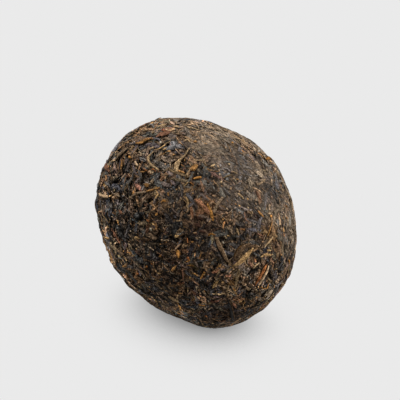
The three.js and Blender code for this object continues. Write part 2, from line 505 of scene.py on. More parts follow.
def leafMaterial(name, finish):
    material, tree, shader = newMaterial(name)
    colour = addNode(tree, "ShaderNodeAttribute", attribute_name="leafColour")
    follows = {
        "leaf": addNode(tree, "ShaderNodeAttribute", attribute_name="leafGrain").outputs["Vector"],
        "bowl": addNode(tree, "ShaderNodeTexCoord").outputs["Object"],
    }
    noises = {}
    level = None
    for kind, (carrier, noise, given, tones) in leafPatterns.items():
        noises[kind] = addNoise(tree, follows[carrier], *noise).outputs["Fac"]
        tone = toRange(tree, noises[kind], *given, *(tones or finish[kind]))
        level = addMath(tree, "MULTIPLY", level, tone) if level else tone
    strength = addNode(tree, "ShaderNodeAttribute", attribute_name="leafContrast")
    level = addMath(tree, "POWER", level, strength.outputs["Fac"])
    shade = addMath(tree, "MULTIPLY", colour.outputs["Color"], level, "ShaderNodeVectorMath")
    tree.links.new(shade, shader.inputs["Base Color"])
    rough = toRange(tree, noises["flecks"], *leafSkin["roughFrom"], *finish["roughness"])
    tree.links.new(rough, shader.inputs["Roughness"])
    shader.inputs["Specular IOR Level"].default_value = finish["gloss"]
    shader.inputs["Sheen Weight"].default_value = leafSkin["sheen"]
    shader.inputs["Sheen Roughness"].default_value = leafSkin["sheenRoughness"]
    shader.inputs["Sheen Tint"].default_value = leafSkin["sheenTint"]
    bump = addBump(tree, finish["bump"], leafSkin["streakDepth"], noises["streaks"])
    bump = addBump(tree, leafSkin["gritBump"], leafSkin["gritDepth"], noises["gritAndGlints"], bump)
    tree.links.new(bump.outputs[0], shader.inputs["Normal"])
    return material


leafFinish = {
    "leaf": {"streaks": (0.35, 1.55), "roughness": (0.34, 0.6), "gloss": 0.012, "bump": 1.0},
    "stalk": {"streaks": (0.55, 1.35), "roughness": (0.5, 0.7), "gloss": 0.03, "bump": 0.6},
    "crumb": {"streaks": (0.45, 1.45), "roughness": (0.5, 0.85), "gloss": 0.012, "bump": 0.6},
}
leafMaterials = {name: leafMaterial(name + "Tea", finish) for name, finish in leafFinish.items()}


massSkin = {
    "warp": ((1, 1, 1), 420.0, 2.0, 0.5),  # stretch, size, detail, roughness
    "warpReach": 1.6,
    "cellSize": 800.0,
    "cellTones": {
        0.0: (0.25, 0.25, 0.25),
        0.45: (0.6, 0.582, 0.57),
        0.8: (1.2, 1.164, 1.14),
        1.0: (2.6, 2.3, 1.9),
    },
    "edge": (0.25, 0.75, 1.25, 0.35),  # cells darken towards their edges
    "fine": ((1, 1, 1), 1500.0, 3.0, 0.7),
    "fineRange": (0.37, 0.63, 0.4, 1.7),
    "roughness": 0.7,
    "gloss": 0.02,
    "cellBump": (0.7, 0.2),  # strength, depth
    "fineBump": (0.6, 0.12),
}


def massMaterial():
    material, tree, shader = newMaterial("pressedTea")
    place = addNode(tree, "ShaderNodeTexCoord").outputs["Object"]
    colour = addNode(tree, "ShaderNodeAttribute", attribute_name="leafColour")
    warp = addNoise(tree, place, *massSkin["warp"])
    bent = addNode(tree, "ShaderNodeVectorMath", [
        (0, warp.outputs["Color"]), (1, (massSkin["warpReach"] * mm,) * 3), (2, place),
    ], operation="MULTIPLY_ADD")
    cells = addNode(tree, "ShaderNodeTexVoronoi", [
        ("Vector", bent.outputs[0]), ("Scale", massSkin["cellSize"]),
    ])
    tone = addNode(tree, "ShaderNodeSeparateColor", [("Color", cells.outputs["Color"])])
    ramp = addRamp(tree, tone.outputs[0], massSkin["cellTones"])
    fine = addNoise(tree, place, *massSkin["fine"]).outputs["Fac"]
    fineLevel = toRange(tree, fine, *massSkin["fineRange"])
    edgeLevel = toRange(tree, cells.outputs["Distance"], *massSkin["edge"])
    level = addMath(tree, "MULTIPLY", fineLevel, edgeLevel)
    strength = addNode(tree, "ShaderNodeAttribute", attribute_name="leafContrast")
    shade = addMath(tree, "MULTIPLY", ramp, level, "ShaderNodeVectorMath")
    shade = addMath(tree, "POWER", shade, strength.outputs["Vector"], "ShaderNodeVectorMath")
    shade = addMath(tree, "MULTIPLY", shade, colour.outputs["Color"], "ShaderNodeVectorMath")
    tree.links.new(shade, shader.inputs["Base Color"])
    shader.inputs["Roughness"].default_value = massSkin["roughness"]
    shader.inputs["Specular IOR Level"].default_value = massSkin["gloss"]
    bump = addBump(tree, *massSkin["cellBump"], cells.outputs["Distance"])
    bump.invert = True
    bump = addBump(tree, *massSkin["fineBump"], fine, bump)
    tree.links.new(bump.outputs[0], shader.inputs["Normal"])
    return material


palette = {  # linear colours
    # dark leaves with a grey sheen of the bright room painted into their colour, their own gloss kept low
    "slate": (0.046, 0.0415, 0.038),
    "ash": (0.112, 0.097, 0.082),
    "mauve": (0.078, 0.0585, 0.049),
    "black": (0.014, 0.012, 0.010),
    "umber": (0.070, 0.046, 0.028),
    "brown": (0.126, 0.077, 0.043),
    "drab": (0.166, 0.114, 0.070),
    "tan": (0.285, 0.190, 0.100),
    "sand": (0.370, 0.250, 0.145),
    "red": (0.165, 0.079, 0.046),
    "russet": (0.205, 0.096, 0.050),
    "maroon": (0.078, 0.040, 0.027),
    "amber": (0.260, 0.130, 0.044),
    "orange": (0.400, 0.185, 0.050),
    "rust": (0.360, 0.135, 0.046),
    "olive": (0.335, 0.205, 0.090),
    "gold": (0.490, 0.300, 0.125),
    "pale": (0.500, 0.420, 0.310),
    # pale dust, also used as painted light on the lit top and the grazing right edge
    "dust": (0.235, 0.176, 0.120),
}
core = {
    "depth": 0.48,  # under the nominal surface
    "looseDepth": 1.2,
    "smoothDepth": 0.1,
    # the near-black tea under the leaves, darker than most leaves: its own colour, and painted shade in the
    # gaps between leaves
    "colour": (0.030, 0.021, 0.014),
    "smoothColour": (0.122, 0.095, 0.0735),
    "rings": 150,
    "round": 260,
    "reliefs": [(0.12, 3.0, 21), (0.084, 1.4, 22)],  # height, size, seed
    "lowest": 0.3,  # stays over the floor, under the leaves
}
leafTone = {
    "level": 2.8,
    "jitter": 0.19,
    "channelJitter": 0.035,
    "warmth": 0.045,
    "warmthSize": 9,
    "warmthSeed": 33,
    "warmthTint": (1.0, 0.0, -1.3),  # warmer ones have more red and less blue
    "smoothPull": 0.35,
    "drifts": [(0.2, 7, 31), (0.14, 16, 32)],  # height, size, seed
    "patchShare": (0.3, 1.2),
}


def zoneColoursAndLight(spots, pick):
    for (_, spread, name, part), middle in zip(patches, patchMiddles):
        share = part * patchLuck.uniform(*leafTone["patchShare"], len(spots))
        near = np.clip(nearPoints(spots, [middle], spread) * share, 0, 1)[:, None]
        pick = pick * (1 - near) + np.array(palette[name]) * near
    # painted light and shade along the tone lines, over the leaves' own tone
    for (_, spread, factor), line in zip(tones, toneAndLightLines):
        pick = pick * factor ** nearLine(spots, line, spread)[:, None]
    return pick


def pickColours(spots, weights):
    names = list(weights)
    share = np.array([weights[n] for n in names], float)
    colours = np.array([palette[n] for n in names])
    pick = colours[luck.choice(len(names), len(spots), p=share / share.sum())]
    pick = pick * np.exp(luck.normal(0, leafTone["jitter"], len(spots)))[:, None]
    pick = pick * leafTone["level"] * (1 + luck.normal(0, leafTone["channelJitter"], (len(spots), 3)))
    warmth = luck.normal(0, leafTone["warmth"], len(spots))
    warmth += leafTone["warmth"] * softNoise(spots, leafTone["warmthSize"], leafTone["warmthSeed"])
    pick = pick * np.exp(warmth[:, None] * np.array(leafTone["warmthTint"]))
    pull = leafTone["smoothPull"] * smoothAt(spots)[:, None]
    pick = pick * (1 - pull) + np.array(core["smoothColour"]) * pull
    tone = pick.mean(1) / (contrast["middle"] * leafTone["level"])
    most = np.where(tone > 1, 1, contrast["darkest"])  # only the dark ones are drawn further apart
    strength = np.minimum(contrastAt(spots), most)
    pick = pick * (tone ** (strength - 1))[:, None]
    drift = sum(height * softNoise(spots, size, seed) for height, size, seed in leafTone["drifts"])
    pick = pick * np.exp(drift)[:, None]
    return zoneColoursAndLight(spots, pick)


print("materials ready")


def colourAttribute(mesh, colours, points, most=np.inf):
    tint = mesh.attributes.new("leafColour", "FLOAT_COLOR", "POINT")
    values = np.concatenate([colours, np.ones((len(colours), 1))], 1)
    tint.data.foreach_set("color", values.ravel().astype(np.float32))
    strength = mesh.attributes.new("leafContrast", "FLOAT_VECTOR", "POINT")
    texture = contrastAt(points)
    texture = texture + contrast["texture"] * np.clip(looseAt(points) + texture - 1, 0, 1)
    values = np.repeat(np.minimum(texture, most), 3)
    strength.data.foreach_set("vector", values.astype(np.float32))


def makeCore():
    bm = bmesh.new()
    even = np.linspace(0, runs[-1], core["rings"])
    profile = np.stack([np.interp(even, runs, section[:, k]) for k in (0, 1)], 1)
    verts = [bm.verts.new((away, along, centre[2])) for away, along in profile]
    edges = [bm.edges.new(pair) for pair in zip(verts, verts[1:])]
    bmesh.ops.spin(bm, geom=verts + edges, cent=centre, axis=(0, 1, 0), angle=2 * math.pi,
                   steps=core["round"], use_merge=True)
    bmesh.ops.remove_doubles(bm, verts=bm.verts, dist=1e-4)
    bmesh.ops.recalc_face_normals(bm, faces=bm.faces)
    points = np.array([v.co for v in bm.verts])
    foot, normal = onBowl(points)
    relief = sum(height * softNoise(foot, size, seed) for height, size, seed in core["reliefs"])
    smooth = smoothAt(foot)
    depth = core["depth"] + (core["looseDepth"] - core["depth"]) * looseAt(foot)
    depth = depth + (core["smoothDepth"] - depth) * smooth
    points = foot + normal * (surfaceRise(foot) - depth + relief)[:, None]
    points[:, 2] = np.maximum(points[:, 2], core["lowest"])
    for v, point in zip(bm.verts, points):
        v.co = point * mm
    mesh = bpy.data.meshes.new("pressedMass")
    bm.to_mesh(mesh)
    bm.free()
    plain, dusty = np.array(core["colour"]), np.array(core["smoothColour"])
    tinted = zoneColoursAndLight(foot, plain + (dusty - plain) * smooth[:, None])
    colourAttribute(mesh, plain * (1 - smooth[:, None]) + tinted * smooth[:, None], foot)
    mesh.shade_smooth()
    mesh.materials.append(massMaterial())
    piece = bpy.data.objects.new("pressedMass", mesh)
    bpy.context.scene.collection.objects.link(piece)
    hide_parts("tuocha")
    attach(piece, "root")


makeCore()
print("core made")

# shapes of single leaves, each about one unit long, wide and thick


def shapeArrays(bm):
    bmesh.ops.triangulate(bm, faces=bm.faces)
    bm.verts.ensure_lookup_table()
    points = np.array([v.co for v in bm.verts])
    faces = np.array([[v.index for v in f.verts] for f in bm.faces])
    bm.free()
    return points, faces


strand = {"ribs": (0.62, 1.1), "fat": 0.15, "taper": 2.4, "shake": 0.02, "waves": 5}
bud = {"slim": 0.55, "curve": 1.5, "shake": (0.9, 1.1)}
crumbShake = (0.7, 1.15)


def strandShape(seed, spans=5, sides=5, tip=0.35, crinkle=0.09, twist=1.2, wave=0.06):
    shake = random.Random(seed)
    bm = bmesh.new()
    bmesh.ops.create_cone(bm, cap_ends=True, segments=sides, radius1=0.5, radius2=0.5, depth=1)
    long = [e for e in bm.edges if abs(e.verts[0].co.z - e.verts[1].co.z) > 0.5]
    bmesh.ops.subdivide_edges(bm, edges=long, cuts=spans - 1)
    ribs = [shake.uniform(*strand["ribs"]) for _ in range(sides)]
    turn = shake.uniform(-twist, twist)
    phase = shake.uniform(0, wholeTurn)
    fat = shake.uniform(-strand["fat"], strand["fat"])
    for v in bm.verts:
        along = v.co.z
        angle = math.atan2(v.co.y, v.co.x)
        rib = ribs[round(angle / (2 * math.pi) * sides) % sides]
        taper = 1 - (1 - tip) * min(1, abs(2 * along - fat)) ** strand["taper"]
        reach = 0.5 * rib * taper * shake.uniform(1 - crinkle, 1 + crinkle)
        angle += turn * along
        v.co = (
            along + shake.uniform(-strand["shake"], strand["shake"]),
            reach * math.cos(angle) + wave * math.sin(strand["waves"] * along + phase),
            reach * math.sin(angle),
        )
    bm.normal_update()
    return shapeArrays(bm)


def budShape(seed):
    shake = random.Random(seed)
    bm = bmesh.new()
    bmesh.ops.create_uvsphere(bm, u_segments=6, v_segments=5, radius=0.5)
    for v in bm.verts:
        along = v.co.z
        slim = 1 - bud["slim"] * (along + 0.5) ** bud["curve"]
        across, deep = (side * slim * shake.uniform(*bud["shake"]) for side in (v.co.x, v.co.y))
        v.co = (along, across, deep)
    bm.normal_update()
    return shapeArrays(bm)


def crumbShape(seed):
    shake = random.Random(seed)
    bm = bmesh.new()
    bmesh.ops.create_icosphere(bm, subdivisions=1, radius=0.5)
    for v in bm.verts:
        v.co *= shake.uniform(*crumbShake)
    bm.normal_update()
    return shapeArrays(bm)


layers = {
    "wideLeaves": {
        "shape": strandShape, "form": {"spans": 4, "sides": 6, "crinkle": 0.16, "twist": 0.4},
        "finish": "leaf", "count": 2100, "loose": 0.4, "pressed": 0.9, "smooth": 0.12,
        "length": (3.5, 7.5), "width": (1.4, 3.0), "thick": (0.7, 1.1), "lift": (-0.5, -0.05), "tilt": 0.03,
        "bend": 0.03, "colours": {"slate": 6, "black": 2, "umber": 3, "mauve": 2, "brown": 2, "maroon": 0.5},
    },
    "curledLeaves": {
        "shape": strandShape, "form": {"spans": 5, "sides": 6, "crinkle": 0.14, "twist": 1.6},
        "finish": "leaf", "count": 2000, "loose": 1.0, "pressed": 0.0, "smooth": 0.0,
        "length": (4.5, 9.5), "width": (1.5, 2.7), "thick": (1.0, 1.9), "lift": (-0.7, 0.15), "tilt": 0.05,
        "bend": 0.04, "colours": {"slate": 5, "umber": 4, "mauve": 2, "brown": 3, "red": 0.4, "drab": 1.2},
    },
    "twists": {
        "shape": strandShape, "form": {"spans": 5, "sides": 5, "crinkle": 0.14, "twist": 2.2},
        "finish": "leaf", "count": 3200, "loose": 0.7, "pressed": 0.6, "smooth": 0.0,
        "length": (3.0, 8.0), "width": (0.9, 1.8), "thick": (0.7, 1.3), "lift": (-0.6, -0.05), "tilt": 0.05,
        "bend": 0.05, "colours": {"slate": 4, "black": 1.5, "umber": 5, "brown": 3, "red": 0.3, "drab": 1},
    },
    "darkChips": {
        "shape": strandShape, "form": {"spans": 2, "sides": 6, "tip": 0.65, "crinkle": 0.26, "twist": 0.3},
        "finish": "leaf", "count": 4900, "loose": 0.5, "pressed": 0.9, "smooth": 0.35,
        "length": (2.0, 5.2), "width": (0.8, 2.0), "thick": (0.4, 0.8), "lift": (-0.42, 0.0), "tilt": 0.06,
        "bend": 0.05,
        "colours": {"slate": 6, "black": 3, "umber": 4, "mauve": 2, "brown": 1.5, "maroon": 0.4},
    },
    "brownChips": {
        "shape": strandShape, "form": {"spans": 2, "sides": 6, "tip": 0.6, "crinkle": 0.26, "twist": 0.3},
        "finish": "leaf", "count": 4200, "loose": 0.35, "pressed": 0.6, "smooth": 0.4,
        "length": (1.6, 4.6), "width": (0.4, 1.25), "thick": (0.3, 0.6), "lift": (-0.4, 0.02), "tilt": 0.06,
        "bend": 0.08, "colours": {"umber": 5, "brown": 4.5, "drab": 2, "red": 0.3, "tan": 0.4, "slate": 3},
    },
    "fibres": {
        "shape": strandShape, "form": {"spans": 4, "sides": 4, "tip": 0.5, "twist": 0.3}, "finish": "stalk",
        "count": 4600, "loose": 0.4, "pressed": 0.7, "smooth": 0.5,
        "length": (1.4, 5.2), "width": (0.18, 0.42), "thick": (0.22, 0.38), "lift": (-0.12, 0.06),
        "tilt": 0.03, "bend": 0.14,
        "colours": {"drab": 4, "tan": 2, "brown": 3.5, "amber": 1, "black": 8, "slate": 1},
    },
    "stalks": {
        "shape": strandShape, "form": {"spans": 4, "sides": 5, "tip": 0.6, "twist": 0.6}, "finish": "stalk",
        "count": 560, "loose": 0.8, "pressed": 0.9, "smooth": 0.2,
        "length": (2.0, 6.0), "width": (0.5, 1.0), "thick": (0.45, 0.7), "lift": (-0.3, 0.1), "tilt": 0.04,
        "bend": 0.05, "colours": {"tan": 2, "amber": 2, "gold": 0.4, "drab": 3, "brown": 4},
    },
    "buds": {
        "shape": budShape, "form": {},
        "finish": "stalk", "count": 360, "loose": 0.8, "pressed": 1.0, "smooth": 0.3,
        "length": (0.9, 2.0), "width": (0.6, 1.1), "thick": (0.6, 1.0), "lift": (-0.3, 0.05), "tilt": 0.04,
        "bend": 0.0, "colours": {"orange": 1.2, "amber": 3, "gold": 0.4, "tan": 1.5, "brown": 3},
    },
    "crumbs": {
        "shape": crumbShape, "form": {},
        "finish": "crumb", "count": 8600, "loose": 0.4, "pressed": 0.55, "smooth": 1.0,
        "length": (0.5, 1.8), "width": (0.35, 1.1), "thick": (0.3, 0.7), "lift": (-0.3, 0.05), "tilt": 0.1,
        "bend": 0.0,
        "colours": {"slate": 3, "black": 2, "umber": 5, "brown": 4, "drab": 2, "tan": 0.4, "amber": 0.5},
    },
}
press = {
    "cap": 0.08,
    "looseCap": 0.9,
    "smoothLess": 0.45,
    "squeeze": 0.1,
    "drop": 0.8,
    "raise": 0.6,
    "bumps": [(0.2, 9, 5), (0.1, 4, 6)],  # height, size, seed
    "bumpShare": 0.6,
    "smoothBumps": 0.5,
    "overFloor": 0.05,
    "floorShare": 0.02,
}
paintedGapShade = {"from": 0.1, "depth": 0.5, "darkest": 0.03, "curve": 0.75}  # painted shade: leaves darken the lower they sit, towards the gaps where shade falls
paintedEdgeShade = {"side": 0.36, "rise": 1.75, "under": 0.03, "contrast": 1.4, "less": 0.4}  # painted shade: each leaf also darkens towards its edges and underside, bright only on top
swirl = {"from": 20, "over": 20, "middle": 2.2, "less": 1.7}  # leaves lie round the bowl towards its side
looseLeaves = {"longer": 0.25, "tilt": 2, "roll": 0.2}
markings = {"spread": 500, "deep": 3}  # where in the pattern each leaf has its own


def evenSpots(count):
    ring = section[:, 0].copy()
    total = np.cumsum(ring)
    goal = (np.arange(count) + luck.uniform(0, 1, count)) / count * total[-1]
    run = np.interp(goal, total, runs)
    turn = np.arange(count) * math.pi * (3 - math.sqrt(5)) + luck.uniform(0, wholeTurn)  # the golden angle
    away, along = np.interp(run, runs, section[:, 0]), np.interp(run, runs, section[:, 1])
    return np.stack([away * np.sin(turn), along, centre[2] + away * np.cos(turn)], 1)


def settle(points, height, cap=None):
    foot, normal = onBowl(points)
    loose = looseAt(foot)
    smooth = smoothAt(foot)
    if cap is None:
        cap = press["cap"] + (press["looseCap"] - press["cap"]) * loose
        height = height * (1 - press["smoothLess"] * smooth)
    pressed = np.where(height > cap, cap + (height - cap) * press["squeeze"], height)
    bumps = sum(rise * softNoise(foot, size, seed) for rise, size, seed in press["bumps"])
    bumps = bumps * (1 - press["smoothBumps"] * smooth)
    placed = foot + normal * (pressed + surfaceRise(foot) + bumps * (press["bumpShare"] + loose))[..., None]
    lowest = press["overFloor"]
    placed[..., 2] = np.where(placed[..., 2] < lowest, lowest + press["floorShare"] * pressed, placed[..., 2])
    # painted shade: the deeper a leaf sits under the pressed top, the darker its colour
    deep = np.clip((paintedGapShade["from"] - pressed) / paintedGapShade["depth"] / (1 + loose), 0, 1)
    return placed, 1 - (1 - paintedGapShade["darkest"]) * deep ** paintedGapShade["curve"]


# painted shade on each piece: top kept bright, sides and underside darkened, more where the contrast is
# raised
def rimShade(shape, points):
    edge = np.clip(paintedEdgeShade["side"] + paintedEdgeShade["rise"] * shape[:, 2], paintedEdgeShade["under"], 1)
    return edge ** (paintedEdgeShade["contrast"] * contrastAt(points) - paintedEdgeShade["less"])


def joinedPiece(name, finish, parts, crisp=False, mostTexture=np.inf):
    starts = np.cumsum([0] + [len(part[0]) for part in parts])  # a part is points, faces, colours and grain
    faces = np.concatenate([part[1] + start for part, start in zip(parts, starts)])
    points, colours, grain = (np.concatenate([part[k] for part in parts]) for k in (0, 2, 3))
    mesh = bpy.data.meshes.new(name)
    mesh.from_pydata((points * mm).tolist(), [], faces.tolist())
    colourAttribute(mesh, colours, points, mostTexture)
    lines = mesh.attributes.new("leafGrain", "FLOAT_VECTOR", "POINT")
    lines.data.foreach_set("vector", grain.ravel().astype(np.float32))
    if crisp:
        mesh.shade_flat()
    else:
        mesh.shade_smooth()
    mesh.materials.append(leafMaterials[finish])
    piece = bpy.data.objects.new(name, mesh)
    bpy.context.scene.collection.objects.link(piece)
    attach(piece, "root")
    print(name, len(faces), "triangles")


def layLeaves(name, layer, shapes=8):
    spots = evenSpots(layer["count"])
    loose = looseAt(spots)
    smooth = smoothAt(spots)
    share = layer["pressed"] + (layer["loose"] - layer["pressed"]) * loose
    share = share * (1 - smooth) + layer["smooth"] * smooth
    kept = luck.uniform(0, 1, len(spots)) < share
    spots, loose = spots[kept], loose[kept]
    count = len(spots)
    _, normal = onBowl(spots)
    around = np.cross(normal, np.array([0.0, 1.0, 0.0]))
    around /= np.maximum(np.linalg.norm(around, axis=1), 1e-6)[:, None]
    away = np.hypot(spots[:, 0], spots[:, 2] - centre[2])
    ordered = np.clip((away - swirl["from"]) / swirl["over"], 0, 1)
    turn = luck.normal(0, 1, count) * (swirl["middle"] - swirl["less"] * ordered)
    side = np.cross(normal, around)
    ahead = around * np.cos(turn)[:, None] + side * np.sin(turn)[:, None]
    side = np.cross(normal, ahead)
    length, width, thick = (luck.uniform(*layer[k], count) for k in ("length", "width", "thick"))
    length *= 1 + looseLeaves["longer"] * loose
    lift = luck.uniform(*layer["lift"], count)
    lift += loose * luck.uniform(-press["drop"], press["raise"], count)
    tilt = luck.normal(0, layer["tilt"], count) * (1 + looseLeaves["tilt"] * loose)
    roll = luck.normal(0, looseLeaves["roll"], count)
    bend = luck.normal(0, layer["bend"], count)
    colours = pickColours(spots, layer["colours"])
    parts = []
    for k in range(shapes):
        shape, faces = layer["shape"](k, **layer["form"])
        mine = np.arange(k, count, shapes)
        x = shape[None, :, 0] * length[mine, None]
        y = shape[None, :, 1] * width[mine, None]
        z = shape[None, :, 2] * thick[mine, None]
        middle = length[mine, None] ** 2 / 12  # so a bent leaf keeps its place
        y = y + bend[mine, None] * (x * x - middle)
        height = z + tilt[mine, None] * x + roll[mine, None] * y + lift[mine, None]
        flat = spots[mine, None] + ahead[mine, None] * x[..., None] + side[mine, None] * y[..., None]
        # painted shade from sinking and from each leaf's edges goes into its colour
        placed, shade = settle(flat, height)
        shade = shade * rimShade(shape, spots[mine, None])
        starts = np.arange(len(mine)) * len(shape)
        seed = luck.uniform(0, markings["spread"], len(mine))
        parts.append([array.reshape(-1, 3) for array in (
            placed,
            faces[None] + starts[:, None, None],
            colours[mine][:, None] * shade[..., None],
            np.stack([x + seed[:, None], y, z + markings["deep"] * seed[:, None]], -1),
        )])
    joinedPiece(name, layer["finish"], parts, crisp=layer["finish"] == "leaf")


for name, layer in layers.items():
    layLeaves(name, layer)

